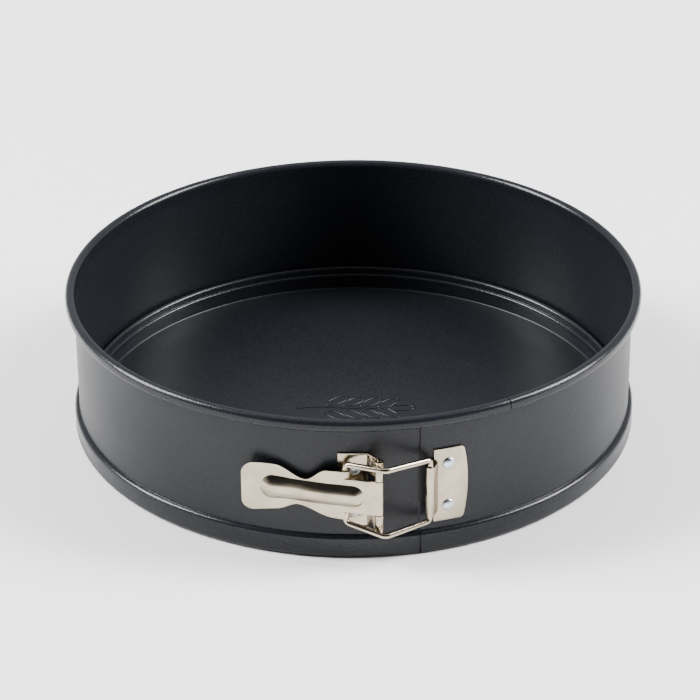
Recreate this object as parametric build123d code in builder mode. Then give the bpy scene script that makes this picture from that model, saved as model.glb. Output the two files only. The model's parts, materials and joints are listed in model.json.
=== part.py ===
from build123d import *
from math import atan2, cos, degrees, hypot, radians, sin
import os

os.makedirs("parts", exist_ok=True)

# Round springform cake pan, millimetres. The origin is on the pan's axis, on the surface it
# stands on. The latch is at the front, towards -Y. Angles go round the pan from the front (0),
# positive towards +X.

# ---- driving dimensions ----
bore_radius = 114.3          # 9 in pan
sheet = 0.6                  # side band and base plate
bead_step = 1.9              # how far the bottom bead stands out of the wall
bead_height = 9.7            # top of the bead's shoulder
roll_radius = 2.0            # bottom edge rolled inwards
curl_radius = 2.1            # top edge curled outwards
curl_straight = 0.8          # straight stretch that makes the curl taller than wide
overall_height = 61.6
wall_seam = 12.55            # degrees, end of the outer flap
rim_seam = 30.5              # degrees, where the two ends of the curl meet
seam_gap = 0.06              # degrees, half of the gap at each seam
lap_gap = 0.04               # between the two leaves of the overlap

base_wall_radius = 110.55    # middle of the base plate's upright edge
base_step = 7.0              # height of the small step under the folded lip
base_lip_radius = 1.0        # middle of the folded lip's arc
base_height = 10.4
base_corner = 1.0
base_lip_end = 4.1           # lowest point of the folded lip, just above the ledge

latch_z = 30.5               # height of the latch's centre line
latch_sheet = 0.75           # nickel-plated strip
latch_lift = 0.05            # plates to wall
plate_half = 16.0            # half height of both plates
pin_radius = 0.85
pin_play = 0.05
pivot_angle = 4.5            # degrees, hinge pin
pivot_radius = 121.9
lever_angle = 12.5           # degrees between the closed lever and the X axis
lever_length = 53.5
lever_half = 10.5            # half height of the lever's body and grip
tongue_half = 7.3
eye_reach = 13.3             # hinge pin to bail
wire_radius = 1.15
wire_play = 0.05
bail_out_angle = 5.4         # degrees, the bail's elbow in front of the hinge
bail_out_radius = 126.5
hook_angle = 14.2            # degrees, centre of the keeper's knuckle
hook_radius = 118.4
hook_half = 10.9
keeper_z = 29.4              # the keeper sits a little lower than the rest of the latch
rivet_spread = 9.3           # rivets above and below the middle of their plate
rivet_head_radius = 2.5
rivet_head_height = 1.1
rivet_shank_radius = 1.3

# ---- worked out from them ----
half = sheet / 2
wall_mid = bore_radius + half
wall_outer = bore_radius + sheet
curl_mid = curl_radius - half
roll_mid = roll_radius - half
bead_mid = wall_mid + bead_step
curl_top = overall_height - curl_radius
curl_low = curl_top - curl_straight
plate_inner = wall_outer + latch_lift
plate_outer = plate_inner + latch_sheet
barrel_inner = pin_radius + pin_play
barrel_outer = barrel_inner + latch_sheet
eye_inner = wire_radius + wire_play
eye_outer = eye_inner + latch_sheet


def polar(radius, angle):
    """Point at a radius and an angle round the pan, seen from above."""
    return (radius * sin(radians(angle)), -radius * cos(radians(angle)))


def section_plane(angle):
    """Upright plane through the pan's axis: local x is the radius, local y is the height."""
    x, y = polar(1, angle)
    return Plane(origin=(0, 0, 0), x_dir=(x, y, 0), z_dir=(y, -x, 0))


def face_plane(radius, angle, height):
    """Plane tangent to the wall: local x runs along the wall, local y up, z outwards."""
    x, y = polar(1, angle)
    return Plane(origin=(radius * x, radius * y, height), x_dir=(-y, x, 0), z_dir=(x, y, 0))


pivot = polar(pivot_radius, pivot_angle)
along = (-cos(radians(lever_angle)), sin(radians(lever_angle)))
outward = (-sin(radians(lever_angle)), -cos(radians(lever_angle)))
lever_plane = Plane(origin=(pivot[0], pivot[1], latch_z), x_dir=(*along, 0), z_dir=(*outward, 0))
sheet_out = barrel_outer - latch_sheet / 2       # middle of the lever's sheet above the pivot
eye_drop = sheet_out - eye_outer + latch_sheet / 2
eye = (pivot[0] + eye_reach * along[0] + eye_drop * outward[0],
       pivot[1] + eye_reach * along[1] + eye_drop * outward[1])
hook = polar(hook_radius, hook_angle)
elbow = polar(bail_out_radius, bail_out_angle)

# ---- side band ----
# One strip of sheet, drawn here as two halves that meet at the back.
with BuildSketch(Plane.XY) as band_profile:
    with BuildLine() as band_line:
        curl_end = 230
        CenterArc((wall_mid + curl_mid, curl_low), curl_mid, curl_end, 360 - curl_end)
        Line((wall_mid + 2 * curl_mid, curl_low), (wall_mid + 2 * curl_mid, curl_top))
        CenterArc((wall_mid + curl_mid, curl_top), curl_mid, 0, 180)
        Line((wall_mid, curl_top), (wall_mid, bead_height + bead_step / 2 - half))
        CenterArc((wall_mid + bead_step / 2, bead_height + bead_step / 2 - half), bead_step / 2, 180, 90)
        CenterArc((wall_mid + bead_step / 2, bead_height - bead_step / 2 - half), bead_step / 2, 90, -90)
        Line((bead_mid, bead_height - bead_step / 2 - half), (bead_mid, roll_radius))
        CenterArc((bead_mid - roll_mid, roll_radius), roll_mid, 0, -270)
    trace(line_width=sheet)

lap_low = bead_height + 0.6
lap_high = curl_low - curl_radius - 0.2
lap_radius = bore_radius + half
with BuildSketch(Plane.XY) as tongue_profile:
    add(band_profile.sketch)
    with Locations((lap_radius - lap_gap / 2, 0)):
        Rectangle(10, lap_high, align=(Align.MIN, Align.MIN), mode=Mode.SUBTRACT)
    with Locations((bore_radius - 10, 0)):
        Rectangle(30, lap_low, align=(Align.MIN, Align.MIN), mode=Mode.SUBTRACT)
with BuildSketch(Plane.XY) as flap_profile:
    add(band_profile.sketch)
    with Locations((lap_radius + lap_gap / 2, lap_low - 0.3)):
        Rectangle(10, overall_height, align=(Align.MAX, Align.MIN), mode=Mode.SUBTRACT)
    with Locations((bore_radius - 10, lap_high - 0.2)):
        Rectangle(30, 10, align=(Align.MIN, Align.MIN), mode=Mode.SUBTRACT)


def turned(profile, start, stop):
    """Revolve a flat profile from one angle round the pan to another."""
    placed = section_plane(start) * profile.sketch
    return revolve(placed, Axis.Z, stop - start, mode=Mode.PRIVATE)


left_half = turned(band_profile, -180, wall_seam - seam_gap)
left_tongue = turned(tongue_profile, wall_seam - seam_gap, rim_seam - seam_gap)
right_half = turned(band_profile, rim_seam + seam_gap, 179.98)
right_flap = turned(flap_profile, wall_seam + seam_gap, rim_seam + seam_gap)
bracket_rivet_heights = (latch_z - rivet_spread, latch_z + rivet_spread)
keeper_rivet_heights = (keeper_z - rivet_spread, keeper_z + rivet_spread)
bracket_rivet_angle = 0
keeper_rivet_angle = 18.25
hole_radius = rivet_shank_radius + 0.02
rivet_reach = 3.5

with BuildPart() as side_band_left:
    add(left_half)
    add(left_tongue)
    for height in bracket_rivet_heights:
        with BuildSketch(face_plane(bore_radius - 1, bracket_rivet_angle, height)):
            Circle(hole_radius)
        extrude(amount=rivet_reach, mode=Mode.SUBTRACT)
side_band_left.part.label = "side_band_left"

with BuildPart() as side_band_right:
    add(right_half)
    add(right_flap)
    for height in keeper_rivet_heights:
        with BuildSketch(face_plane(bore_radius - 1, keeper_rivet_angle, height)):
            Circle(hole_radius)
        extrude(amount=rivet_reach, mode=Mode.SUBTRACT)
side_band_right.part.label = "side_band_right"

# ---- base plate ----
# A flat floor with an upright edge, a small step, and a folded lip that rests on the band's rolled edge.
lip_z = base_height - half - base_lip_radius
step_out = 0.6
step_up = 0.45
lip_inner = base_wall_radius + step_out + step_up
with BuildPart() as base_plate:
    with BuildSketch(Plane.XZ):
        with BuildLine() as base_line:
            Line((0, half), (base_wall_radius - base_corner, half))
            CenterArc((base_wall_radius - base_corner, half + base_corner), base_corner, -90, 90)
            Line((base_wall_radius, half + base_corner), (base_wall_radius, base_step - step_out))
            CenterArc((base_wall_radius + step_out, base_step - step_out), step_out, 180, -90)
            CenterArc((base_wall_radius + step_out, base_step + step_up), step_up, -90, 90)
            Line((lip_inner, base_step + step_up), (lip_inner, lip_z))
            CenterArc((lip_inner + base_lip_radius, lip_z), base_lip_radius, 180, -180)
            Line((lip_inner + 2 * base_lip_radius, lip_z),
                 (lip_inner + 2 * base_lip_radius, base_lip_end))
        trace(line_width=sheet)
    revolve(axis=Axis.Z)
base_plate.part.label = "base_plate"

# ---- bracket: riveted plate with the two outer knuckles of the hinge ----
bracket_left = -3.1
bracket_right = 2.75
knuckle_low = tongue_half + 0.45
web_foot = polar((plate_inner + plate_outer) / 2, bracket_right)
lean = degrees(atan2(pivot[1] - web_foot[1], pivot[0] - web_foot[0]))
web_run = hypot(pivot[0] - web_foot[0], pivot[1] - web_foot[1])
tangent_turn = degrees(atan2(sheet_out, (web_run**2 - sheet_out**2) ** 0.5))
web_way = radians(lean - tangent_turn)
web_length = (web_run**2 - sheet_out**2) ** 0.5
web_top = (web_foot[0] + web_length * cos(web_way), web_foot[1] + web_length * sin(web_way))

with BuildPart() as latch_bracket:
    with BuildSketch(section_plane(bracket_left)):
        with Locations((plate_inner, latch_z)):
            Rectangle(latch_sheet, 2 * plate_half, align=(Align.MIN, Align.CENTER))
    revolve(axis=Axis.Z, revolution_arc=bracket_right - bracket_left)
    with BuildSketch(face_plane(wall_outer - 3, 0, latch_z)) as bracket_outline:
        with Locations((wall_outer * sin(radians(bracket_left)), 0)):
            Rectangle(20, 2 * plate_half, align=(Align.MIN, Align.CENTER))
        left_corners = bracket_outline.vertices().group_by(Axis.X)[0].sort_by(Axis.Y)
        fillet(left_corners[0], 4.8)
        top_corner = bracket_outline.vertices().sort_by(Axis.Y).group_by(Axis.Y)[-1].sort_by(Axis.X)[0]
        fillet(top_corner, 0.8)
    extrude(amount=8, mode=Mode.INTERSECT)
    for side in (-1, 1):
        knuckle_centre = latch_z + side * (knuckle_low + plate_half) / 2
        knuckle_height = plate_half - knuckle_low
        with BuildSketch(Plane.XY.offset(knuckle_centre)):
            with BuildLine():
                Line(web_foot, web_top)
            trace(line_width=latch_sheet)
            with Locations(web_foot):
                Circle(latch_sheet / 2)
            with Locations(pivot):
                Circle(barrel_outer)
                Circle(barrel_inner, mode=Mode.SUBTRACT)
        extrude(amount=knuckle_height / 2, both=True)
    for height in bracket_rivet_heights:
        with BuildSketch(face_plane(bore_radius, bracket_rivet_angle, height)):
            Circle(hole_radius)
        extrude(amount=rivet_reach, mode=Mode.SUBTRACT)
latch_bracket.part.label = "latch_bracket"

# ---- hinge pin ----
with BuildPart() as hinge_pin:
    with BuildSketch(Plane.XY.offset(latch_z)):
        with Locations(pivot):
            Circle(pin_radius)
    extrude(amount=plate_half - 0.2, both=True)
    chamfer(hinge_pin.faces().sort_by(Axis.Z)[-1].edges(), 0.2)
    chamfer(hinge_pin.faces().sort_by(Axis.Z)[0].edges(), 0.2)
hinge_pin.part.label = "hinge_pin"

# ---- lever: grip, neck and body in one strip, with the tongue curled round the hinge pin ----
grip_corner = 4.8
# The lever plane's own Y points down the pan, so the upper edge has negative values.
upper_waist_points = ((22.8, -lever_half), (28.8, -5.9), (40.0, -lever_half))
lower_waist_points = ((17.5, lever_half), (31.5, 5.9), (38.5, lever_half))
wing_edge = eye_reach
rib_height = 1.6
rib_width = 9.4
rib_start = 5.0
rib_end = 47.5
with BuildPart() as latch_lever:
    with BuildSketch(lever_plane.offset(barrel_inner)) as lever_outline:
        with BuildLine():
            Line((wing_edge, -lever_half), upper_waist_points[0])
            Spline(*upper_waist_points, tangents=((1, 0), (1, 0)))
            Line(upper_waist_points[-1], (lever_length, -lever_half))
            Line((lever_length, -lever_half), (lever_length, lever_half))
            Line((lever_length, lever_half), lower_waist_points[-1])
            Spline(*lower_waist_points, tangents=((1, 0), (1, 0)))
            Line(lower_waist_points[0], (wing_edge, lever_half))
            Line((wing_edge, lever_half), (wing_edge, tongue_half))
            Line((wing_edge, tongue_half), (0, tongue_half))
            Line((0, tongue_half), (0, -tongue_half))
            Line((0, -tongue_half), (wing_edge, -tongue_half))
            Line((wing_edge, -tongue_half), (wing_edge, -lever_half))
        make_face()
        fillet(lever_outline.vertices().group_by(Axis.X)[-1], grip_corner)
    extrude(amount=latch_sheet)
    with BuildSketch(Plane.XY.offset(latch_z)):
        with Locations(pivot):
            Circle(barrel_outer)
            Circle(barrel_inner, mode=Mode.SUBTRACT)
    extrude(amount=tongue_half, both=True)
    for side in (-1, 1):
        with BuildSketch(Plane.XY.offset(latch_z + side * (tongue_half + 0.4 + lever_half) / 2)):
            with Locations(eye):
                Circle(eye_outer)
                Circle(eye_inner, mode=Mode.SUBTRACT)
        extrude(amount=(lever_half - tongue_half - 0.4) / 2, both=True)
    with BuildSketch(lever_plane.offset(barrel_outer - 0.2)):
        with Locations(((rib_start + rib_end) / 2, 0)):
            SlotOverall(rib_end - rib_start, rib_width)
    extrude(amount=rib_height + 0.2, taper=32)
latch_lever.part.label = "latch_lever"

# ---- bail: one bent wire, hinged in the lever, with its ends at the keeper's knuckle ----
eye_z = 12.9
elbow_z = 14.5
hook_z = 13.6
end_gap = 0.25
# Each corner's place seen from above, its middle height and its half height.
bail_corners = (
    (hook, keeper_z, hook_half + end_gap),
    (hook, keeper_z, hook_z),
    (elbow, latch_z - 0.3, elbow_z),
    (eye, latch_z, eye_z),
)
with BuildPart() as bail_wire:
    with BuildLine() as bail_line:
        upper_points = [(*place, middle + reach) for place, middle, reach in bail_corners]
        lower_points = [(*place, middle - reach) for place, middle, reach in reversed(bail_corners)]
        FilletPolyline(*upper_points, *lower_points, radius=(1.8, 3.0, 2.1, 2.1, 3.0, 1.8))
    with BuildSketch(Plane(origin=upper_points[0], z_dir=(0, 0, 1))):
        Circle(wire_radius)
    sweep()
bail_wire.part.label = "bail_wire"

# ---- keeper: riveted plate with a closed knuckle for the bail ----
keeper_left = 15.3
keeper_right = 22.25
keeper_corner = 21.35
keeper_middle = 18.6
with BuildPart() as keeper_plate:
    with BuildSketch(section_plane(hook_angle)):
        with Locations((plate_inner, keeper_z)):
            Rectangle(latch_sheet, 2 * plate_half, align=(Align.MIN, Align.CENTER))
    revolve(axis=Axis.Z, revolution_arc=keeper_right + 0.3 - hook_angle)
    with BuildSketch(face_plane(wall_outer - 3, keeper_middle, keeper_z)) as keeper_outline:
        with BuildLine():
            inset = plate_outer * sin(radians(keeper_middle - keeper_left))
            corner = plate_outer * sin(radians(keeper_corner - keeper_middle))
            bow = plate_outer * sin(radians(keeper_right - keeper_middle))
            ThreePointArc((corner, plate_half), (bow, 0), (corner, -plate_half))
            Line((corner, -plate_half), (-inset, -plate_half))
            Line((-inset, -plate_half), (-inset, -hook_half))
            Line((-inset, -hook_half), (-12, -hook_half))
            Line((-12, -hook_half), (-12, hook_half))
            Line((-12, hook_half), (-inset, hook_half))
            Line((-inset, hook_half), (-inset, plate_half))
            Line((-inset, plate_half), (corner, plate_half))
        make_face()
        outer_corners = keeper_outline.vertices().group_by(Axis.X)[-1]
        fillet(outer_corners, 1.0)
    extrude(amount=8, mode=Mode.INTERSECT)
    # The knuckle stands off the plate on a short web.
    with BuildSketch(Plane.XY.offset(keeper_z)):
        with Locations(Location((*polar(hook_radius - 2, hook_angle + 0.4), 0), (0, 0, hook_angle))):
            Rectangle(1.4, 2.0)
        with Locations(hook):
            Circle(eye_outer)
            Circle(eye_inner, mode=Mode.SUBTRACT)
    extrude(amount=hook_half, both=True)
    for height in keeper_rivet_heights:
        with BuildSketch(face_plane(bore_radius, keeper_rivet_angle, height)):
            Circle(hole_radius)
        extrude(amount=rivet_reach, mode=Mode.SUBTRACT)
keeper_plate.part.label = "keeper_plate"


# ---- rivets, flush inside the pan ----
def rivet_pair(name, angle, inner_radius, heights):
    """Two domed rivets, one above the other."""
    with BuildPart() as pair:
        for height in heights:
            with BuildSketch(face_plane(inner_radius, angle, height)):
                Circle(rivet_shank_radius)
            extrude(amount=plate_outer + rivet_head_height / 2 - inner_radius)
            with BuildSketch(face_plane(plate_outer + 0.02, angle, height)):
                Circle(rivet_head_radius)
            head = extrude(amount=rivet_head_height)
            rim = head.faces().sort_by(Axis((0, 0, 0), (*polar(1, angle), 0)))[-1].edges()
            fillet(rim, 0.9)
    pair.part.label = name
    return pair


bracket_rivets = rivet_pair("bracket_rivets", bracket_rivet_angle, bore_radius + 0.05, bracket_rivet_heights)
keeper_rivets = rivet_pair("keeper_rivets", keeper_rivet_angle, lap_radius + lap_gap, keeper_rivet_heights)

export_step(side_band_left.part, "parts/side_band_left.step")
export_step(side_band_right.part, "parts/side_band_right.step")
export_step(base_plate.part, "parts/base_plate.step")
export_step(latch_bracket.part, "parts/latch_bracket.step")
export_step(bracket_rivets.part, "parts/bracket_rivets.step")
export_step(hinge_pin.part, "parts/hinge_pin.step")
export_step(latch_lever.part, "parts/latch_lever.step")
export_step(bail_wire.part, "parts/bail_wire.step")
export_step(keeper_plate.part, "parts/keeper_plate.step")
export_step(keeper_rivets.part, "parts/keeper_rivets.step")
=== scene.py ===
"""Springform pan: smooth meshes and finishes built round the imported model."""

import json
import math

import bmesh
import bpy
from bpy.props import FloatProperty, FloatVectorProperty, PointerProperty
from mathutils import Matrix, Vector


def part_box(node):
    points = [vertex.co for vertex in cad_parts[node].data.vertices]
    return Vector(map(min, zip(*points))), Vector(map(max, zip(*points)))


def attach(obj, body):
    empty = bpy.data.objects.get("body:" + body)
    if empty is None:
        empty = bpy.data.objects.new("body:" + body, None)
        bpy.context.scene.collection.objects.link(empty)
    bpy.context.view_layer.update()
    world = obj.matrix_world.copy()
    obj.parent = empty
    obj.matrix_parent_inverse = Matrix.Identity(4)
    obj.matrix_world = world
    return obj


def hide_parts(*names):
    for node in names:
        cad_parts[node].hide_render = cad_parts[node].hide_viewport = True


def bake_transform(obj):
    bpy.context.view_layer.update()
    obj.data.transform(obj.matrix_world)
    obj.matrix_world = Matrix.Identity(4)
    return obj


bl_info = {
    "name": "Springform Pan",
    "version": (1, 0, 0),
    "blender": (4, 5, 0),
    "location": "View3D > Sidebar > Springform",
    "description": "Builds a springform cake pan with a wire-bail latch",
    "category": "Add Mesh",
}

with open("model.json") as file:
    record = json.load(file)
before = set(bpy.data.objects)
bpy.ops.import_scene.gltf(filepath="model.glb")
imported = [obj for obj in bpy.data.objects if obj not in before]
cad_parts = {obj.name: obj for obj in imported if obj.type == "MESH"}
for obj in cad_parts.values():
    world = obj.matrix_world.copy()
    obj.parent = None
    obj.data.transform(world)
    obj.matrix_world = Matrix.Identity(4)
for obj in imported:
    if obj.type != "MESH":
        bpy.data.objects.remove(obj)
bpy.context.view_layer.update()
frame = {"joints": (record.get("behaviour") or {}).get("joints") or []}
joints = {joint["name"]: joint for joint in frame["joints"]}

MM = 0.001

# Heights and radii that the frame gives.
base_low, base_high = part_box("base_plate")
band_low, band_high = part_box("side_band_left")
lever_low, lever_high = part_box("latch_lever")
PIVOT = Vector(joints["lever_hinge"]["pos_m"][:2])
EYE = Vector(joints["bail_hinge"]["pos_m"][:2])
LATCH_Z = (lever_low[2] + lever_high[2]) / 2
TOP = band_high[2]
RIM_RADIUS = -band_low[0]

# Section of the side band, from the pan's axis outwards.
SHEET = 0.6 * MM
BORE = RIM_RADIUS - 4.2 * MM
WALL = BORE + SHEET
WALL_MID = BORE + SHEET / 2
CURL = 1.8 * MM
CURL_STRAIGHT = 0.8 * MM
BEAD_STEP = 1.9 * MM
BEAD_TOP = 9.7 * MM
ROLL = 1.7 * MM
ROLL_HEIGHT = 2.0 * MM
CURL_FOOT = TOP - 5.3 * MM

# Where the band's two ends overlap at the front, angles in degrees from the front.
WALL_SEAM = 12.55
RIM_SEAM = 30.5
BACK_SPAN = 35.0
WALL_GAP = 0.2
RIM_GAP = 0.08
LEAF_GAP = 0.02 * MM
GROOVE_DEPTH = 0.26 * MM

# Latch sizes; angles in degrees from the front.
PLATE = 0.75 * MM
PLATE_IN = WALL + 0.05 * MM
PLATE_OUT = PLATE_IN + PLATE
PLATE_HALF = 16.0 * MM
LEVER_TILT = math.radians(12.5)
LEVER_END = 53.5 * MM
LEVER_HALF = 10.5 * MM
TONGUE_HALF = 7.3 * MM
BARREL_MID = 1.275 * MM
EYE_MID = 1.575 * MM
EYE_REACH = 13.3 * MM
WIRE = 1.15 * MM
HOOK_ANGLE = 14.2
HOOK_RADIUS = 118.4 * MM
HOOK_HALF = 10.9 * MM
KEEPER_Z = LATCH_Z - 1.1 * MM
ELBOW_ANGLE = 5.4
ELBOW_RADIUS = 126.5 * MM
RIVET_SPREAD = 9.3 * MM
BRACKET_RIVETS = 0.0
KEEPER_RIVETS = 18.25
RIVET_RADIUS = 2.5 * MM
RIVET_HEIGHT = 1.08 * MM
SHANK_RADIUS = 1.3 * MM

# Outline of the lever: place along it, height over its middle, and slope, in millimetres.
UPPER = (
    (13.3, 10.4, 0.0), (20.5, 10.3, -0.06), (28.8, 5.3, 0.0), (40.5, 10.3, 0.12),
    (53.5, 10.8, 0.0),
)
LOWER = (
    (13.3, -10.5, 0.0), (18.0, -10.2, 0.1), (31.2, -6.2, 0.08), (39.8, -9.2, -0.1),
    (53.5, -10.1, 0.0),
)
# How far the pressed lever stands out from its flat middle plane, in the same way.
BOW = ((13.3, 0.0, 0.0), (20.0, 0.1, 0.0), (37.0, -0.75, 0.0), (53.5, 1.1, 0.15))
GRIP_CORNER = 4.8 * MM

# Mesh finish: edges sharper than this many degrees stay crisp, and sheared ones get this bevel.
CREASE = 40.0
SHEAR_BEVEL = 0.12 * MM


# ---------------------------------------------------------------- settings
class SpringformSettings(bpy.types.PropertyGroup):
    """Sizes and colours a user may change."""

    rib_height: FloatProperty(
        name="Rib height", description="How far the lever's pressed rib stands out",
        default=2.15 * MM, min=0.0, unit="LENGTH")
    motif_height: FloatProperty(
        name="Motif height", description="How far the floor's pressed motif stands up",
        default=0.38 * MM, min=0.0, unit="LENGTH")
    coating_colour: FloatVectorProperty(
        name="Coating", description="Colour of the non-stick coating",
        default=(0.0075, 0.0083, 0.0108, 1.0), size=4, subtype="COLOR", min=0.0, max=1.0)
    plating_colour: FloatVectorProperty(
        name="Plating", description="Colour of the nickel plating",
        default=(0.45, 0.385, 0.29, 1.0), size=4, subtype="COLOR", min=0.0, max=1.0)
    rivet_colour: FloatVectorProperty(
        name="Rivets", description="Colour of the rivet metal",
        default=(0.58, 0.61, 0.67, 1.0), size=4, subtype="COLOR", min=0.0, max=1.0)


def settings():
    """The scene's pan settings."""
    return bpy.context.scene.springform


# ---------------------------------------------------------------- geometry helpers
def polar(radius, angle):
    """Point seen from above at an angle in degrees from the front, positive towards +X."""
    turn = math.radians(angle)
    return Vector((radius * math.sin(turn), -radius * math.cos(turn)))


def arc(centre, radius, start, stop, steps):
    """Points on an arc, angles in degrees."""
    points = []
    for step in range(steps + 1):
        turn = math.radians(start + (stop - start) * step / steps)
        way = Vector((math.cos(turn), math.sin(turn)))
        points.append(Vector(centre) + way * radius)
    return points


def joined(*runs):
    """One list of points without repeated neighbours."""
    path = []
    for run in runs:
        for point in run:
            if not path or (point - path[-1]).length > 1e-7:
                path.append(Vector(point))
    return path


def rails(path, half):
    """The two edges of a strip of sheet that follows a path."""
    left, right = [], []
    for index, point in enumerate(path):
        before = path[max(index - 1, 0)]
        after = path[min(index + 1, len(path) - 1)]
        way = (after - before).normalized()
        normal = Vector((-way.y, way.x))
        left.append(point + normal * half)
        right.append(point - normal * half)
    return left, right


def smooth_steps(value, low, high):
    """0 below low, 1 above high, smooth between."""
    t = min(max((value - low) / (high - low), 0.0), 1.0)
    return t * t * (3 - 2 * t)


def linked(name, mesh, sharp=CREASE):
    """Puts a mesh in the scene, shaded smooth except over its sharp edges."""
    for polygon in mesh.polygons:
        polygon.use_smooth = True
    mesh.set_sharp_from_angle(angle=math.radians(sharp))
    piece = bpy.data.objects.new(name, mesh)
    bpy.context.scene.collection.objects.link(piece)
    return piece


def finish_mesh(name, verts, faces, bevel=0.0, sharp=CREASE):
    """A mesh object with outward normals, optional small bevels and smooth shading by angle."""
    mesh = bpy.data.meshes.new(name)
    mesh.from_pydata([tuple(v) for v in verts], [], faces)
    work = bmesh.new()
    work.from_mesh(mesh)
    bmesh.ops.remove_doubles(work, verts=work.verts, dist=1e-7)
    bmesh.ops.recalc_face_normals(work, faces=work.faces)
    if bevel:
        limit = math.radians(sharp)
        edges = [e for e in work.edges if len(e.link_faces) == 2 and e.calc_face_angle() > limit]
        bmesh.ops.bevel(work, geom=edges, offset=bevel, segments=2, profile=0.5,
                        affect="EDGES", clamp_overlap=True)
    work.to_mesh(mesh)
    work.free()
    return linked(name, mesh, sharp)


def merge(name, pieces):
    """Joins finished mesh objects into one."""
    work = bmesh.new()
    for piece in pieces:
        work.from_mesh(piece.data)
        bpy.data.objects.remove(piece)
    mesh = bpy.data.meshes.new(name)
    work.to_mesh(mesh)
    work.free()
    return linked(name, mesh)


def turned(name, left, right, start, stop, step=1.0):
    """A section between two rails, turned round the pan from start to stop in degrees."""
    closed = abs(stop - start) >= 360
    count = max(2, round(abs(stop - start) / step))
    rings = count if closed else count + 1
    outline = [*left, *reversed(right)]
    size = len(outline)
    verts = []
    for ring in range(rings):
        angle = start + (stop - start) * ring / count
        for radius, height in outline:
            verts.append((*polar(radius, angle), height))
    faces = []
    for ring in range(count):
        here, there = ring * size, ((ring + 1) % rings) * size
        for k in range(size):
            after = (k + 1) % size
            faces.append((here + k, here + after, there + after, there + k))
    if not closed:
        rail = len(left)
        for base in (0, (rings - 1) * size):
            for k in range(rail - 1):
                faces.append((base + k, base + k + 1, base + size - 2 - k, base + size - 1 - k))
    return finish_mesh(name, verts, faces)


def strip(name, path, low, high):
    """Latch sheet that follows a path seen from above, between two heights."""
    left, right = rails(path, PLATE / 2)
    count = len(path)
    verts = []
    for height in (low, high):
        for rail in (left, right):
            verts.extend((*point, height) for point in rail)
    faces = []
    for k in range(count - 1):
        a, b, c, d = k, k + count, k + 2 * count, k + 3 * count
        faces.extend([(a, a + 1, b + 1, b), (c, d, d + 1, c + 1)])
        faces.extend([(a, c, c + 1, a + 1), (b, b + 1, d + 1, d)])
    last = count - 1
    faces.append((0, count, 3 * count, 2 * count))
    faces.append((last, last + 2 * count, last + 3 * count, last + count))
    return finish_mesh(name, verts, faces, SHEAR_BEVEL)


def slab(name, columns, rows, surface):
    """Latch sheet over a grid: surface(s, t), both 0 to 1, gives an outer point and its normal."""
    verts, faces = [], []
    for side in range(2):
        for i in range(columns + 1):
            for j in range(rows + 1):
                point, normal = surface(i / columns, j / rows)
                verts.append(point - normal * (PLATE * side))
    width = rows + 1
    layer = (columns + 1) * width
    for side in range(2):
        for i in range(columns):
            for j in range(rows):
                a = side * layer + i * width + j
                faces.append((a, a + 1, a + width + 1, a + width))
    edge = [i * width for i in range(columns + 1)]
    edge += [columns * width + j for j in range(1, rows + 1)]
    edge += [i * width + rows for i in range(columns - 1, -1, -1)]
    edge += [j for j in range(rows - 1, 0, -1)]
    for k, a in enumerate(edge):
        b = edge[(k + 1) % len(edge)]
        faces.append((a, b, b + layer, a + layer))
    return finish_mesh(name, verts, faces, SHEAR_BEVEL, sharp=50)


def rounded(points, radii):
    """A 3D polyline with each corner replaced by an arc."""
    steps = 8
    path = [Vector(points[0])]
    for index in range(1, len(points) - 1):
        corner = Vector(points[index])
        before = (Vector(points[index - 1]) - corner).normalized()
        after = (Vector(points[index + 1]) - corner).normalized()
        half_turn = before.angle(after) / 2
        radius = radii[index - 1]
        reach = radius / math.tan(half_turn)
        centre = corner + (before + after).normalized() * (radius / math.sin(half_turn))
        start, stop = corner + before * reach - centre, corner + after * reach - centre
        axis, sweep = start.cross(stop), start.angle(stop)
        for step in range(steps + 1):
            path.append(centre + Matrix.Rotation(sweep * step / steps, 3, axis) @ start)
    path.append(Vector(points[-1]))
    return path


def wire(name, path, radius, sides=28):
    """A round wire with slightly domed ends along a path."""
    verts, faces = [], []
    tangent = (path[1] - path[0]).normalized()
    normal = tangent.orthogonal().normalized()
    stations = []
    for index, point in enumerate(path):
        before, after = path[max(index - 1, 0)], path[min(index + 1, len(path) - 1)]
        way = (after - before).normalized()
        normal = (normal - way * normal.dot(way)).normalized()
        stations.append((point, way, normal.copy(), radius))
    first, last = stations[0], stations[-1]
    dome, tip = 0.12 * radius, 0.8 * radius
    stations.insert(0, (first[0] - first[1] * dome, first[1], first[2], tip))
    stations.append((last[0] + last[1] * dome, last[1], last[2], tip))
    for point, way, across, size in stations:
        beside = way.cross(across)
        for k in range(sides):
            turn = 2 * math.pi * k / sides
            verts.append(point + (across * math.cos(turn) + beside * math.sin(turn)) * size)
    for s in range(len(stations) - 1):
        here, there = s * sides, (s + 1) * sides
        for k in range(sides):
            after = (k + 1) % sides
            faces.append((here + k, here + after, there + after, there + k))
    faces.append(tuple(range(sides)))
    faces.append(tuple((len(stations) - 1) * sides + k for k in range(sides)))
    return finish_mesh(name, verts, faces)


def place(piece, body, slot, material, *nodes):
    """Gives a finished piece its material, its body and the nodes it stands for."""
    piece.data.materials.clear()
    piece.data.materials.append(material)
    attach(piece, body)
    if nodes:
        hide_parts(*nodes)


# ---------------------------------------------------------------- node tree helpers
def node_tree(name, inputs):
    """A geometry node tree with a geometry input and output and named float inputs."""
    tree = bpy.data.node_groups.new(name, "GeometryNodeTree")
    tree.interface.new_socket("Geometry", in_out="INPUT", socket_type="NodeSocketGeometry")
    tree.interface.new_socket("Geometry", in_out="OUTPUT", socket_type="NodeSocketGeometry")
    for label, value in inputs:
        socket = tree.interface.new_socket(label, in_out="INPUT", socket_type="NodeSocketFloat")
        socket.default_value = value
    return tree, tree.nodes.new("NodeGroupInput"), tree.nodes.new("NodeGroupOutput")


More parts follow.
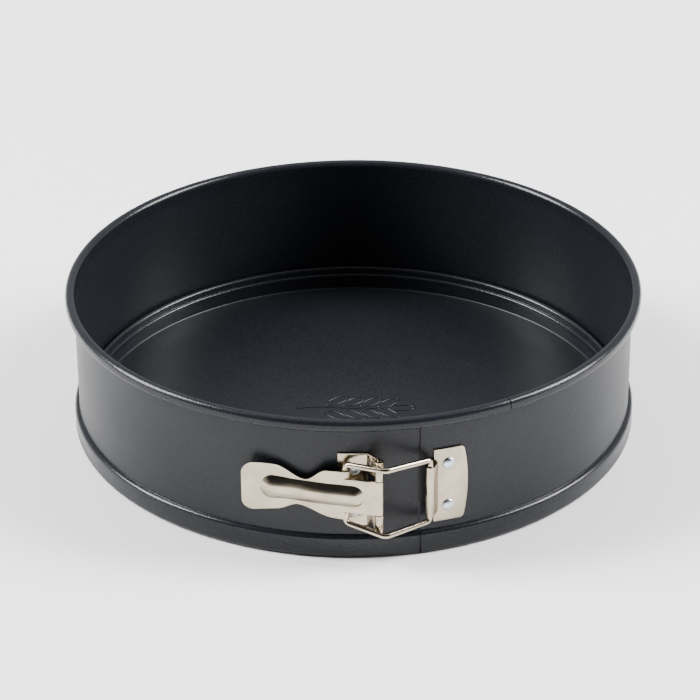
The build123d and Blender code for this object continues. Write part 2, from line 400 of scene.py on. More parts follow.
def applied(name, host, tree, values):
    """Runs a node tree on a host mesh and returns the result as a plain mesh object."""
    modifier = host.modifiers.new(name, "NODES")
    modifier.node_group = tree
    for item in tree.interface.items_tree:
        if item.item_type == "SOCKET" and item.in_out == "INPUT" and item.name in values:
            modifier[item.identifier] = values[item.name]
    evaluated = host.evaluated_get(bpy.context.evaluated_depsgraph_get())
    mesh = bpy.data.meshes.new_from_object(evaluated)
    host.modifiers.remove(modifier)
    bpy.data.objects.remove(host)
    result = bpy.data.objects.new(name, mesh)
    bpy.context.scene.collection.objects.link(result)
    return result


def points_host(name, points, **attributes):
    """A mesh of loose points with vector attributes, for a node tree to work on."""
    mesh = bpy.data.meshes.new(name)
    mesh.from_pydata([tuple(p) for p in points], [], [])
    for label, values in attributes.items():
        attribute = mesh.attributes.new(label, "FLOAT_VECTOR", "POINT")
        for k, value in enumerate(values):
            attribute.data[k].vector = value
    host = bpy.data.objects.new(name, mesh)
    bpy.context.scene.collection.objects.link(host)
    return host


# ---------------------------------------------------------------- materials
def new_material(name):
    """An empty node material with its shader and object coordinates."""
    material = bpy.data.materials.new(name)
    material.use_nodes = True
    nodes = material.node_tree.nodes
    nodes.clear()
    output = nodes.new("ShaderNodeOutputMaterial")
    shader = nodes.new("ShaderNodeBsdfPrincipled")
    coordinates = nodes.new("ShaderNodeTexCoord")
    material.node_tree.links.new(shader.outputs["BSDF"], output.inputs["Surface"])
    return material, shader, coordinates.outputs["Object"]


def noise(material, coordinates, scale, detail=2.0, stretch=None):
    """A noise texture's value, optionally stretched along an axis."""
    nodes, links = material.node_tree.nodes, material.node_tree.links
    texture = nodes.new("ShaderNodeTexNoise")
    texture.inputs["Scale"].default_value = scale
    texture.inputs["Detail"].default_value = detail
    if stretch:
        mapping = nodes.new("ShaderNodeMapping")
        mapping.inputs["Scale"].default_value = stretch
        links.new(coordinates, mapping.inputs["Vector"])
        coordinates = mapping.outputs["Vector"]
    links.new(coordinates, texture.inputs["Vector"])
    return texture.outputs["Fac"]


def ranged(material, value, low, high, from_low=0.3, from_high=0.7):
    """A value mapped to a new range."""
    node = material.node_tree.nodes.new("ShaderNodeMapRange")
    node.inputs["From Min"].default_value = from_low
    node.inputs["From Max"].default_value = from_high
    node.inputs["To Min"].default_value = low
    node.inputs["To Max"].default_value = high
    material.node_tree.links.new(value, node.inputs["Value"])
    return node.outputs["Result"]


def blended(material, value, first, second):
    """Two colours mixed by a value."""
    node = material.node_tree.nodes.new("ShaderNodeMix")
    node.data_type = "RGBA"
    node.inputs["A"].default_value = first
    node.inputs["B"].default_value = second
    material.node_tree.links.new(value, node.inputs["Factor"])
    return node.outputs["Result"]


def bumped(material, shader, heights):
    """Stacks bumps, each a value, a strength and a distance in metres, under the shader."""
    nodes, links = material.node_tree.nodes, material.node_tree.links
    previous = None
    for value, strength, distance in heights:
        bump = nodes.new("ShaderNodeBump")
        bump.inputs["Strength"].default_value = strength
        bump.inputs["Distance"].default_value = distance
        links.new(value, bump.inputs["Height"])
        if previous:
            links.new(previous, bump.inputs["Normal"])
        previous = bump.outputs["Normal"]
    links.new(previous, shader.inputs["Normal"])


def shade(colour, factor):
    """A colour made lighter or darker."""
    return (colour[0] * factor, colour[1] * factor, colour[2] * factor, 1.0)


def coating_material():
    """Satin non-stick coating: fine speckle, orange peel and slow changes of gloss."""
    name = "nonstick_coating"
    if name in bpy.data.materials:
        return bpy.data.materials[name]
    material, shader, place_at = new_material(name)
    colour = settings().coating_colour
    links = material.node_tree.links
    speckle = noise(material, place_at, 2600, 1.0)
    cloud = noise(material, place_at, 22, 3.0)
    grains = ranged(material, speckle, 0, 1, 0.42, 0.66)
    tone = blended(material, grains, shade(colour, 0.8), shade(colour, 1.9))
    links.new(tone, shader.inputs["Base Color"])
    nodes = material.node_tree.nodes
    split = nodes.new("ShaderNodeSeparateXYZ")
    links.new(place_at, split.inputs["Vector"])
    # The rolled rim and the bead's shoulder are drawn smoother than the wall.
    drawn = 0.12
    rim = ranged(material, split.outputs["Z"], 0.0, drawn, TOP - 7 * MM, TOP - 4 * MM)
    shoulder = ranged(material, split.outputs["Z"], drawn, 0.0, 10.5 * MM, 12 * MM)
    lip = ranged(material, split.outputs["Z"], 0.0, 1.0, 4 * MM, 6 * MM)
    rolled = nodes.new("ShaderNodeMath")
    rolled.operation = "MULTIPLY_ADD"
    for value, socket in zip((shoulder, lip, rim), rolled.inputs):
        links.new(value, socket)
    gloss = nodes.new("ShaderNodeMath")
    gloss.operation = "SUBTRACT"
    links.new(ranged(material, cloud, 0.30, 0.37), gloss.inputs[0])
    links.new(rolled.outputs["Value"], gloss.inputs[1])
    links.new(gloss.outputs["Value"], shader.inputs["Roughness"])
    shader.inputs["IOR"].default_value = 1.33
    peel = noise(material, place_at, 900, 2.0)
    waves = noise(material, place_at, 60, 1.0)
    heights = [(waves, 0.25, 0.4 * MM), (peel, 0.30, 0.14 * MM), (speckle, 0.40, 0.07 * MM)]
    bumped(material, shader, heights)
    return material


def plating_material():
    """Bright nickel plating over rolled strip: soft grain, faint stains and hairline marks."""
    name = "nickel_plating"
    if name in bpy.data.materials:
        return bpy.data.materials[name]
    material, shader, place_at = new_material(name)
    colour = settings().plating_colour
    links = material.node_tree.links
    shader.inputs["Metallic"].default_value = 1.0
    cloud = noise(material, place_at, 130, 4.0)
    grain = noise(material, place_at, 1900, 2.0)
    marks = noise(material, place_at, 700, 2.0, (0.12, 0.12, 1.6))
    stains = ranged(material, cloud, 0, 1, 0.35, 0.65)
    tone = blended(material, stains, shade(colour, 0.86), shade(colour, 1.08))
    links.new(tone, shader.inputs["Base Color"])
    links.new(ranged(material, grain, 0.14, 0.23), shader.inputs["Roughness"])
    heights = [(cloud, 0.10, 0.3 * MM), (marks, 0.05, 0.08 * MM), (grain, 0.10, 0.05 * MM)]
    bumped(material, shader, heights)
    return material


def rivet_material():
    """Satin rivet metal with a hammered look."""
    name = "rivet_satin"
    if name in bpy.data.materials:
        return bpy.data.materials[name]
    material, shader, place_at = new_material(name)
    colour = settings().rivet_colour
    shader.inputs["Metallic"].default_value = 1.0
    links = material.node_tree.links
    cloud = noise(material, place_at, 420, 3.0)
    dents = ranged(material, cloud, 0, 1)
    tone = blended(material, dents, shade(colour, 0.86), shade(colour, 1.08))
    links.new(tone, shader.inputs["Base Color"])
    links.new(ranged(material, cloud, 0.26, 0.40), shader.inputs["Roughness"])
    bumped(material, shader, [(cloud, 0.25, 0.22 * MM)])
    return material


# ---------------------------------------------------------------- side band
def wall_path():
    """Middle line of the band's section: curl, wall, bead and rolled edge, from the top down."""
    curl_high = TOP - CURL - SHEET / 2
    curl_low = curl_high - CURL_STRAIGHT
    axis = WALL_MID + CURL
    tight = 0.45 * MM
    wide = BEAD_STEP - tight
    ledge = BEAD_TOP - SHEET / 2 + 0.2 * MM
    return joined(
        arc((axis, curl_low), CURL, 230, 360, 12),
        arc((axis, curl_high), CURL, 0, 180, 20),
        [Vector((WALL_MID, TOP - 6 * MM - (TOP - 18 * MM) * step / 4)) for step in range(4)],
        arc((WALL_MID + tight, ledge + tight), tight, 180, 270, 6),
        arc((WALL_MID + tight, ledge - wide), wide, 90, 0, 12),
        arc((WALL_MID + BEAD_STEP - ROLL, ROLL_HEIGHT), ROLL, 0, -270, 24),
    )


def clipped(rail, keep, limit, side):
    """A rail whose kept stretch stays inside (side -1) or outside (side 1) a radius."""
    points = []
    for point in rail:
        if keep(point.y):
            radius = max(point.x, limit) if side > 0 else min(point.x, limit)
            points.append(Vector((radius, point.y)))
        else:
            points.append(point.copy())
    return points


class SPRINGFORM_OT_band(bpy.types.Operator):
    """Side band: left and right stretches, the back stretch, and the overlap at the front."""

    bl_idname = "springform.band"
    bl_label = "Side band"

    def execute(self, context):
        material = coating_material()
        half = Vector((SHEET / 2, 0))
        path = wall_path()
        left, right = rails(path, SHEET / 2)
        back = 180 - BACK_SPAN
        rim_end, wall_end = RIM_SEAM + RIM_GAP, WALL_SEAM - WALL_GAP

        def under_curl(height):
            return height < CURL_FOOT

        def over_bead(height):
            return height > BEAD_TOP + 0.3 * MM

        # Left part: the full section, the inner leaf of the overlap and the sunk line at its edge.
        main = turned("main", left, right, -back, wall_end)
        wall = [k for k, point in enumerate(path) if point.y > BEAD_TOP + 0.5 * MM]
        leaf = [clipped([rail[k] for k in wall], under_curl, WALL_MID - LEAF_GAP, -1)
                for rail in (left, right)]
        tongue = turned("tongue", *leaf, WALL_SEAM + 2 * WALL_GAP, RIM_SEAM - RIM_GAP)
        sunk = [clipped(rail, under_curl, WALL_MID - GROOVE_DEPTH, -1) for rail in leaf]
        groove = turned("groove", *sunk, wall_end, WALL_SEAM + 2 * WALL_GAP)

        # A thin backing inside the bead, so that its seam shows no daylight.
        thin, offset, span = 0.12 * MM, 0.47 * MM, 0.8
        bead = [k for k, point in enumerate(path)
                if point.y < BEAD_TOP + 1.5 * MM and point.x < BORE + 4 * MM]
        away = [(left[k] - right[k]).normalized() * offset for k in bead]
        side = -1 if away[0].x > 0 else 1
        lining = [[point + way * side for point, way in zip(rail, away)]
                  for rail in rails([path[k] for k in bead], thin)]
        backing = turned("backing", *lining, WALL_SEAM - span, WALL_SEAM + span, span / 2)
        band = merge("band_left", [main, tongue, groove, backing])
        place(band, "ring_left", "dark_coating", material, "side_band_left")

        # Right part: the full section, and the outer leaf of the overlap under the rim.
        main = turned("main", left, right, rim_end, back)
        below = [k for k, point in enumerate(path) if point.y < CURL_FOOT - 0.4 * MM]
        top_point = Vector((WALL_MID, CURL_FOOT - 0.3 * MM))
        runs = [[top_point + corner] + [rail[k] for k in below]
                for rail, corner in ((left, half), (right, -half))]
        leaf = [clipped(run, over_bead, WALL_MID + LEAF_GAP, 1) for run in runs]
        flap = turned("flap", *leaf, WALL_SEAM + WALL_GAP, rim_end)
        band = merge("band_right", [main, flap])
        place(band, "ring_right", "dark_coating", material, "side_band_right")

        rear = turned("band_back", left, right, back, 360 - back)
        rear.data.materials.append(material)
        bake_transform(rear)
        return {"FINISHED"}


# ---------------------------------------------------------------- base plate
class SPRINGFORM_OT_base(bpy.types.Operator):
    """Base plate: flat floor, upright edge with a small step, and folded lip."""

    bl_idname = "springform.base"
    bl_label = "Base plate"

    def execute(self, context):
        half = SHEET / 2
        corner, out, up, lip = 1.0 * MM, 0.6 * MM, 0.45 * MM, 1.0 * MM
        edge = base_high[0] - half - out - up - 2 * lip
        step, lip_foot = 7.0 * MM, 4.1 * MM
        lip_height = base_high[2] - half - lip
        shares = (0.0, 0.1, 0.25, 0.4, 0.55, 0.7, 0.85, 0.95)
        path = joined(
            [Vector((edge * share, half)) for share in shares],
            arc((edge - corner, half + corner), corner, -90, 0, 8),
            arc((edge + out, step - out), out, 180, 90, 8),
            arc((edge + out, step + up), up, -90, 0, 6),
            arc((edge + out + up + lip, lip_height), lip, 180, 0, 18),
            [Vector((edge + out + up + 2 * lip, lip_foot))],
        )
        left, right = rails(path, half)
        left[0].x = right[0].x = 0.0
        piece = turned("base_floor", left, right, 0, 360)
        place(piece, "base", "dark_coating", coating_material(), "base_plate")
        return {"FINISHED"}


def outline_tree(material):
    """Node tree: a raised leaf-shaped outline on every point, turned by the point's attribute."""
    tree, entry, leave = node_tree("raised_leaves", [("Leaf", 4 * MM), ("Stroke", 0.5 * MM)])
    nodes, links = tree.nodes, tree.links
    ring = nodes.new("GeometryNodeCurvePrimitiveCircle")
    ring.inputs["Resolution"].default_value = 40
    links.new(entry.outputs["Leaf"], ring.inputs["Radius"])
    squeeze = nodes.new("GeometryNodeTransform")
    squeeze.inputs["Scale"].default_value = (1.0, 0.42, 1.0)
    links.new(ring.outputs["Curve"], squeeze.inputs["Geometry"])
    stroke = nodes.new("GeometryNodeCurvePrimitiveCircle")
    stroke.inputs["Resolution"].default_value = 10
    links.new(entry.outputs["Stroke"], stroke.inputs["Radius"])
    tube = nodes.new("GeometryNodeCurveToMesh")
    links.new(squeeze.outputs["Geometry"], tube.inputs["Curve"])
    links.new(stroke.outputs["Curve"], tube.inputs["Profile Curve"])
    turn = nodes.new("GeometryNodeInputNamedAttribute")
    turn.data_type = "FLOAT_VECTOR"
    turn.inputs["Name"].default_value = "turn"
    instances = nodes.new("GeometryNodeInstanceOnPoints")
    links.new(entry.outputs["Geometry"], instances.inputs["Points"])
    links.new(tube.outputs["Mesh"], instances.inputs["Instance"])
    rotation = nodes.new("FunctionNodeEulerToRotation")
    links.new(turn.outputs["Attribute"], rotation.inputs["Euler"])
    links.new(rotation.outputs["Rotation"], instances.inputs["Rotation"])
    realize = nodes.new("GeometryNodeRealizeInstances")
    links.new(instances.outputs["Instances"], realize.inputs["Geometry"])
    finish = nodes.new("GeometryNodeSetMaterial")
    finish.inputs["Material"].default_value = material
    links.new(realize.outputs["Geometry"], finish.inputs["Geometry"])
    links.new(finish.outputs["Geometry"], leave.inputs["Geometry"])
    return tree


class SPRINGFORM_OT_motif(bpy.types.Operator):
    """A plain ear of wheat pressed into the middle of the floor."""

    bl_idname = "springform.motif"
    bl_label = "Floor motif"

    def execute(self, context):
        material = coating_material()
        floor = base_low[2] + SHEET
        stem_radius = 0.6 * MM
        points, turns = [], []
        for k in range(4):
            for side in (-1, 1):
                points.append(((-7 + 7.2 * k) * MM, side * (6.4 - 0.7 * k) * MM, 0))
                turns.append((0, 0, side * math.radians(38)))
        points.append((20.0 * MM, 0, 0))
        turns.append((0, 0, 0))
        host = points_host("ear_points", points, turn=turns)
        ear = applied("ear", host, outline_tree(material), {"Leaf": 5.4 * MM, "Stroke": 0.55 * MM})
        sway = [1.6 * MM * math.sin(k * 0.7) * (8 - k) / 8 for k in range(9)]
        middle = [Vector(((-24 + 4.8 * k) * MM, y, 0)) for k, y in enumerate(sway)]
        stem = wire("stem", middle, stem_radius, sides=12)
        motif = merge("floor_motif", [ear, stem])
        flat = settings().motif_height / stem_radius
        for vertex in motif.data.vertices:
            vertex.co.z = floor + vertex.co.z * flat
        place(motif, "base", "dark_coating", material)
        return {"FINISHED"}


# ---------------------------------------------------------------- latch
ALONG = Vector((-math.cos(LEVER_TILT), math.sin(LEVER_TILT)))
OUTWARD = Vector((-math.sin(LEVER_TILT), -math.cos(LEVER_TILT)))


def lever_point(along, out):
    """Point seen from above, measured along the closed lever and out from the hinge."""
    return PIVOT + ALONG * along + OUTWARD * out


def hermite(knots, u):
    """Smooth curve through knots, each a place, a value and a slope."""
    if u <= knots[0][0]:
        return knots[0][1]
    for (u0, v0, m0), (u1, v1, m1) in zip(knots, knots[1:]):
        if u <= u1:
            span = u1 - u0
            t = (u - u0) / span
            return ((2 * t**3 - 3 * t**2 + 1) * v0 + (t**3 - 2 * t**2 + t) * span * m0
                    + (3 * t**2 - 2 * t**3) * v1 + (t**3 - t**2) * span * m1)
    return knots[-1][1]


def grip_round(u, edge):
    """Rounds the grip's corner off towards its middle height."""
    into = u - (LEVER_END - GRIP_CORNER)
    if into <= 0:
        return edge
    return edge - math.copysign(GRIP_CORNER - math.sqrt(max(GRIP_CORNER**2 - into**2, 0.0)), edge)


def lever_edge(knots, u):
    """Height of one edge of the lever."""
    return grip_round(u, hermite(knots, u / MM) * MM)


def lever_bow(u):
    """Bow of the lever: the neck bends in and the grip comes back level with the front."""
    return hermite(BOW, u / MM) * MM


def rib_lift(u, z):
    """Height of the pressed rib over the lever's face, a little lower at the neck."""
    wide = (4.7 + 0.5 * smooth_steps(u, 33 * MM, 44 * MM)) * MM
    middle = (0.1 + 0.3 * smooth_steps(u, 30 * MM, 44 * MM)) * MM
    centre = min(max(u, 10.0 * MM), 41.4 * MM)
    across = math.hypot((z - middle) / wide, (u - centre) / (wide * 0.98))
    if across >= 1:
        return 0.0
    crown = math.cos(across * math.pi / 2) ** 0.95
    dip = 0.16 * smooth_steps(u, 26 * MM, 33 * MM) * smooth_steps(u, 41 * MM, 34 * MM)
    return settings().rib_height * crown * (1 - dip)


class SPRINGFORM_OT_lever(bpy.types.Operator):
    """Lever: pressed strip with its rib, the tongue round the pin and the curls round the bail."""

    bl_idname = "springform.lever"
    bl_label = "Lever"

    def execute(self, context):
        face = BARREL_MID + PLATE / 2
        outward_turn = math.degrees(math.atan2(OUTWARD.y, OUTWARD.x))
        # Places of the grid's columns: round the pin below zero, then tongue, then body and grip.
        wrap, round_pin, along_tongue, along_body, rows = 315, 42, 60, 190, 84
        shares = [1 - (1 - k / along_body) ** 1.25 for k in range(along_body + 1)]
        places = [BARREL_MID * math.radians(wrap * k / round_pin - wrap) for k in range(round_pin)]
        places += [(EYE_REACH - 0.02 * MM) * k / along_tongue for k in range(along_tongue + 1)]
        places += [EYE_REACH + (LEVER_END - EYE_REACH) * share for share in shares]

        def sheet(s, t):
            u = places[round(s * (len(places) - 1))]
            low, high = -TONGUE_HALF, TONGUE_HALF
            if u >= EYE_REACH:
                low, high = lever_edge(LOWER, u), lever_edge(UPPER, u)
            z = low + (high - low) * t
            if u < 0:
                turn = math.radians(outward_turn) - u / BARREL_MID
                way = Vector((math.cos(turn), math.sin(turn)))
                return Vector((*(PIVOT + way * face), LATCH_Z + z)), Vector((*way, 0))
            point = lever_point(u, face + lever_bow(u) + rib_lift(u, z))
            return Vector((*point, LATCH_Z + z)), Vector((*OUTWARD, 0))

        pieces = [slab("sheet", len(places) - 1, rows, sheet)]
        roll = arc(EYE, EYE_MID, outward_turn, outward_turn + 290, 40)
        roll.insert(0, EYE + OUTWARD * EYE_MID + ALONG * 0.8 * MM)
        for side in (-1, 1):
            near, far = side * (TONGUE_HALF + 0.4 * MM), side * LEVER_HALF
            low, high = sorted((LATCH_Z + near, LATCH_Z + far))
            pieces.append(strip("wing_curl", roll, low, high))
        lever = merge("lever_plate", pieces)
        place(lever, "lever", "nickel_plate", plating_material(), "latch_lever")
        return {"FINISHED"}


class SPRINGFORM_OT_bail(bpy.types.Operator):
    """Bail: one bent wire from the keeper's knuckle, through the lever's curls and back."""

    bl_idname = "springform.bail"
    bl_label = "Bail"

    def execute(self, context):
        hook = polar(HOOK_RADIUS, HOOK_ANGLE)
        elbow = polar(ELBOW_RADIUS, ELBOW_ANGLE)
        corners = (
            (hook, KEEPER_Z, HOOK_HALF + 0.05 * MM),
            (hook, KEEPER_Z, 13.6 * MM),
            (elbow, LATCH_Z - 0.3 * MM, 14.5 * MM),
            (EYE, LATCH_Z, 12.9 * MM),
        )
        points = [Vector((*place, middle + reach)) for place, middle, reach in corners]
        points += [Vector((*place, middle - reach)) for place, middle, reach in reversed(corners)]
        radii = [r * MM for r in (1.8, 3.0, 2.1, 2.1, 3.0, 1.8)]
        bail = wire("bail_loop", rounded(points, radii), WIRE)
        place(bail, "bail", "nickel_plate", plating_material(), "bail_wire")
        return {"FINISHED"}


def curved_plate(left, right, middle):
    """A plate bent to the wall; left and right give each side's angle at a height of -1 to 1."""

    def surface(s, t):
        share = 2 * t - 1
        angle = left(share) + (right(share) - left(share)) * s
        direction = polar(1.0, angle)
        height = middle + PLATE_HALF * share
        return Vector((*(direction * PLATE_OUT), height)), Vector((*direction, 0))

    return slab("plate", 40, 40, surface)


class SPRINGFORM_OT_bracket(bpy.types.Operator):
    """Bracket: riveted plate, and the two outer knuckles rolled round the hinge pin."""

    bl_idname = "springform.bracket"
    bl_label = "Bracket"

    def execute(self, context):
        left_edge, right_edge, cut = -3.1, 2.6, 2.4

        def left(share):
            return left_edge + cut * (1 - smooth_steps(share, -1.0, -0.66)) ** 1.5

        pieces = [curved_plate(left, lambda share: right_edge, LATCH_Z)]
        foot = polar((PLATE_IN + PLATE_OUT) / 2, right_edge - 0.1)
        run = PIVOT - foot
        lean = math.degrees(math.atan2(run.y, run.x))
        swing = math.degrees(math.asin(BARREL_MID / run.length))
        contact = lean - swing + 90
        curl = arc(PIVOT, BARREL_MID, contact, contact - 320, 40)
        path = joined([foot, foot.lerp(curl[0], 0.5)], curl)
        for side in (-1, 1):
            near, far = side * (TONGUE_HALF + 0.45 * MM), side * PLATE_HALF
            low, high = sorted((LATCH_Z + near, LATCH_Z + far))
            pieces.append(strip("knuckle", path, low, high))
        bracket = merge("bracket_plate", pieces)
        place(bracket, "ring_left", "nickel_plate", plating_material(), "latch_bracket")
        return {"FINISHED"}


class SPRINGFORM_OT_keeper(bpy.types.Operator):
    """Keeper: riveted plate with a bowed edge and a knuckle rolled over the bail."""

    bl_idname = "springform.keeper"
    bl_label = "Keeper"

    def execute(self, context):
        left_edge, right_edge = 15.3, 22.25

        def right(share):
            bow = right_edge - 0.9 * share * share
            corner = max(abs(share) - 0.93, 0.0) / 0.07
            return bow - 0.45 * (1 - math.sqrt(max(1 - corner * corner, 0.0)))

        plate = curved_plate(lambda share: left_edge, right, KEEPER_Z)
        hook = polar(HOOK_RADIUS, HOOK_ANGLE)
        inward = HOOK_ANGLE + 90
        middle = (PLATE_IN + PLATE_OUT) / 2
        foot, seat = polar(middle, left_edge + 0.4), polar(middle, HOOK_ANGLE + 0.75)
        free_edge = polar(PLATE_OUT + 0.42 * MM, 15.9)
        path = joined([foot, seat], arc(hook, EYE_MID, inward - 25, inward + 218, 40), [free_edge])
        knuckle = strip("knuckle", path, KEEPER_Z - HOOK_HALF, KEEPER_Z + HOOK_HALF)
        keeper = merge("keeper_hook", [plate, knuckle])
        place(keeper, "ring_right", "nickel_plate", plating_material(), "keeper_plate")
        return {"FINISHED"}


def rivet_tree(material):
    """Node tree: a domed rivet head on every point, its axis along the point's attribute."""
    inputs = [("Radius", RIVET_RADIUS), ("Height", RIVET_HEIGHT)]
    tree, entry, leave = node_tree("rivet_heads", inputs)
    nodes, links = tree.nodes, tree.links
    ball = nodes.new("GeometryNodeMeshUVSphere")
    ball.inputs["Segments"].default_value = 40
    ball.inputs["Rings"].default_value = 20
    links.new(entry.outputs["Radius"], ball.inputs["Radius"])
    squash = nodes.new("GeometryNodeTransform")
    links.new(ball.outputs["Mesh"], squash.inputs["Geometry"])
    ratio = nodes.new("ShaderNodeMath")
    ratio.operation = "DIVIDE"
    links.new(entry.outputs["Height"], ratio.inputs[0])
    links.new(entry.outputs["Radius"], ratio.inputs[1])
    combine = nodes.new("ShaderNodeCombineXYZ")
    combine.inputs["X"].default_value = 1.0
    combine.inputs["Y"].default_value = 1.0
    links.new(ratio.outputs["Value"], combine.inputs["Z"])
    links.new(combine.outputs["Vector"], squash.inputs["Scale"])
    way = nodes.new("GeometryNodeInputNamedAttribute")
    way.data_type = "FLOAT_VECTOR"
    way.inputs["Name"].default_value = "way"
    align = nodes.new("FunctionNodeAlignRotationToVector")
    align.axis = "Z"
    links.new(way.outputs["Attribute"], align.inputs["Vector"])
    instances = nodes.new("GeometryNodeInstanceOnPoints")
    links.new(entry.outputs["Geometry"], instances.inputs["Points"])
    links.new(squash.outputs["Geometry"], instances.inputs["Instance"])
    links.new(align.outputs["Rotation"], instances.inputs["Rotation"])
    realize = nodes.new("GeometryNodeRealizeInstances")
    links.new(instances.outputs["Instances"], realize.inputs["Geometry"])
    smooth = nodes.new("GeometryNodeSetShadeSmooth")
    links.new(realize.outputs["Geometry"], smooth.inputs["Geometry"])
    finish = nodes.new("GeometryNodeSetMaterial")
    finish.inputs["Material"].default_value = material
    links.new(smooth.outputs["Geometry"], finish.inputs["Geometry"])
    links.new(finish.outputs["Geometry"], leave.inputs["Geometry"])
    return tree


class SPRINGFORM_OT_rivets(bpy.types.Operator):
    """Rivets: domed heads on both plates, with their flush ends inside the pan."""

    bl_idname = "springform.rivets"
    bl_label = "Rivets"

    def execute(self, context):
        material = rivet_material()
        tree = rivet_tree(material)
        left_end, right_end = BORE + 0.05 * MM, BORE + 0.34 * MM
        sets = (
            ("rivets_left", BRACKET_RIVETS, LATCH_Z, "ring_left", "bracket_rivets", left_end),
            ("rivets_right", KEEPER_RIVETS, KEEPER_Z, "ring_right", "keeper_rivets", right_end),
        )
        for name, angle, middle, body, node, flush in sets:
            out = polar(1.0, angle)
            heights = (middle - RIVET_SPREAD, middle + RIVET_SPREAD)
            points = [(*(out * PLATE_OUT), height) for height in heights]
            host = points_host(name + "_points", points, way=[(*out, 0)] * len(points))
            values = {"Radius": RIVET_RADIUS, "Height": RIVET_HEIGHT}
            heads = applied(name + "_heads", host, tree, values)
            shanks = []
            for height in heights:
                run = [Vector((*(out * reach), height)) for reach in (flush, PLATE_OUT)]
                shanks.append(wire("shank", run, SHANK_RADIUS, sides=24))
            rivets = merge(name, [heads, *shanks])
            place(rivets, body, "rivet_metal", material, node)
        return {"FINISHED"}


class SPRINGFORM_OT_pin(bpy.types.Operator):
    """Hinge pin through the bracket's knuckles and the lever's tongue."""

    bl_idname = "springform.pin"
    bl_label = "Hinge pin"

    def execute(self, context):
        low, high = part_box("hinge_pin")
        radius = (high[0] - low[0]) / 2
        heights = (low[2] + 0.1 * MM, LATCH_Z, high[2] - 0.1 * MM)
        pin = wire("pin_rod", [Vector((*PIVOT, height)) for height in heights], radius)
        place(pin, "ring_left", "nickel_plate", plating_material(), "hinge_pin")
        return {"FINISHED"}


# ---------------------------------------------------------------- stage
def softbox(name, location, size, power):
    """A large soft area light aimed at the origin."""
    light = bpy.data.lights.new(name, "AREA")
    light.shape = "RECTANGLE"
    light.size, light.size_y = size
    light.energy = power
    lamp = bpy.data.objects.new(name, light)
    lamp.location = location
    lamp.rotation_euler = (-Vector(location)).to_track_quat("-Z", "Y").to_euler()
    bpy.context.scene.collection.objects.link(lamp)


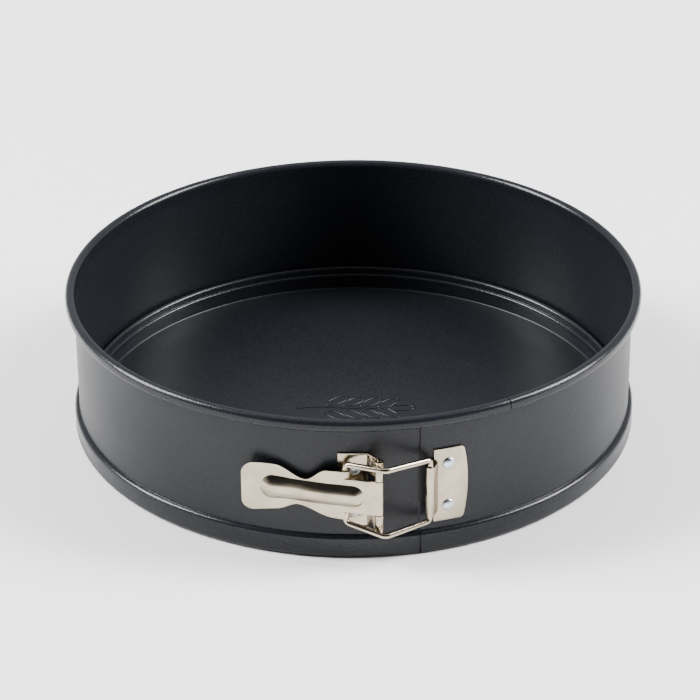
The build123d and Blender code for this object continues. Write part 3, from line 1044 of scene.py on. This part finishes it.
class SPRINGFORM_OT_stage(bpy.types.Operator):
    """Pale floor, soft lights, a sky that is pale low down and darker overhead, and the camera."""

    bl_idname = "springform.stage"
    bl_label = "Stage"

    def execute(self, context):
        scene = context.scene
        size = 6.0
        corners = [(-size, -size, 0), (size, -size, 0), (size, size, 0), (-size, size, 0)]
        mesh = bpy.data.meshes.new("floor")
        mesh.from_pydata(corners, [], [(0, 1, 2, 3)])
        floor = bpy.data.objects.new("floor", mesh)
        scene.collection.objects.link(floor)
        pale = bpy.data.materials.new("pale_floor")
        pale.use_nodes = True
        shader = pale.node_tree.nodes["Principled BSDF"]
        shader.inputs["Base Color"].default_value = (0.92, 0.92, 0.92, 1.0)
        shader.inputs["Roughness"].default_value = 0.9
        mesh.materials.append(pale)

        world = bpy.data.worlds.new("soft_sky")
        world.use_nodes = True
        nodes, links = world.node_tree.nodes, world.node_tree.links
        nodes.clear()
        output = nodes.new("ShaderNodeOutputWorld")
        sky = nodes.new("ShaderNodeBackground")
        direction = nodes.new("ShaderNodeTexCoord")
        split = nodes.new("ShaderNodeSeparateXYZ")
        links.new(direction.outputs["Generated"], split.inputs["Vector"])
        lean = nodes.new("ShaderNodeMath")
        lean.operation = "MULTIPLY_ADD"
        lean.inputs[1].default_value = -0.5
        links.new(split.outputs["Y"], lean.inputs[0])
        links.new(split.outputs["Z"], lean.inputs[2])
        ramp = nodes.new("ShaderNodeValToRGB")
        stops = ((0.40, (1.0, 1.0, 1.0, 1.0)), (0.78, (0.03, 0.03, 0.035, 1.0)))
        for element, (position, colour) in zip(ramp.color_ramp.elements, stops):
            element.position = position
            element.color = colour
        links.new(lean.outputs["Value"], ramp.inputs["Fac"])
        links.new(ramp.outputs["Color"], sky.inputs["Color"])
        sky.inputs["Strength"].default_value = 0.7
        links.new(sky.outputs["Background"], output.inputs["Surface"])
        scene.world = world

        softbox("left_box", (-1.80, 0.10, 1.40), (0.8, 1.5), 150)
        softbox("right_box", (1.80, 0.10, 1.40), (0.8, 1.5), 140)
        softbox("top_box", (0.0, 0.45, 2.2), (2.0, 1.2), 12)

        camera_data = bpy.data.cameras.new("view")
        camera_data.sensor_width = 36.0
        camera_data.lens = 150.1
        camera = bpy.data.objects.new("view", camera_data)
        distance, rise, roll = 1.2321, math.radians(29.707), math.radians(-0.332)
        camera.location = (0.0, -distance * math.cos(rise), distance * math.sin(rise))
        aim = Vector((-0.00145, 0.0, 0.02838))
        look = (aim - camera.location).to_track_quat("-Z", "Y")
        camera.rotation_euler = (look.to_matrix() @ Matrix.Rotation(roll, 3, "Z")).to_euler()
        scene.collection.objects.link(camera)
        scene.camera = camera
        return {"FINISHED"}


class SPRINGFORM_PT_panel(bpy.types.Panel):
    """Lists the pan's settings and the steps that build it."""

    bl_idname = "SPRINGFORM_PT_panel"
    bl_label = "Springform pan"
    bl_space_type = "VIEW_3D"
    bl_region_type = "UI"
    bl_category = "Springform"

    def draw(self, context):
        column = self.layout.column(align=True)
        for name in SpringformSettings.__annotations__:
            column.prop(context.scene.springform, name)
        for step in STEPS:
            self.layout.operator(step.bl_idname)


STEPS = (
    SPRINGFORM_OT_band,
    SPRINGFORM_OT_base,
    SPRINGFORM_OT_motif,
    SPRINGFORM_OT_lever,
    SPRINGFORM_OT_bail,
    SPRINGFORM_OT_bracket,
    SPRINGFORM_OT_keeper,
    SPRINGFORM_OT_rivets,
    SPRINGFORM_OT_pin,
    SPRINGFORM_OT_stage,
)
CLASSES = (SpringformSettings, *STEPS, SPRINGFORM_PT_panel)


def register():
    for item in CLASSES:
        bpy.utils.register_class(item)
    bpy.types.Scene.springform = PointerProperty(type=SpringformSettings)


def unregister():
    del bpy.types.Scene.springform
    for item in reversed(CLASSES):
        bpy.utils.unregister_class(item)


def main():
    register()
    bpy.ops.springform.band()
    bpy.ops.springform.base()
    bpy.ops.springform.motif()
    bpy.ops.springform.lever()
    bpy.ops.springform.bail()
    bpy.ops.springform.bracket()
    bpy.ops.springform.keeper()
    bpy.ops.springform.rivets()
    bpy.ops.springform.pin()
    bpy.ops.springform.stage()
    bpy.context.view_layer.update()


if __name__ == "__main__":
    main()
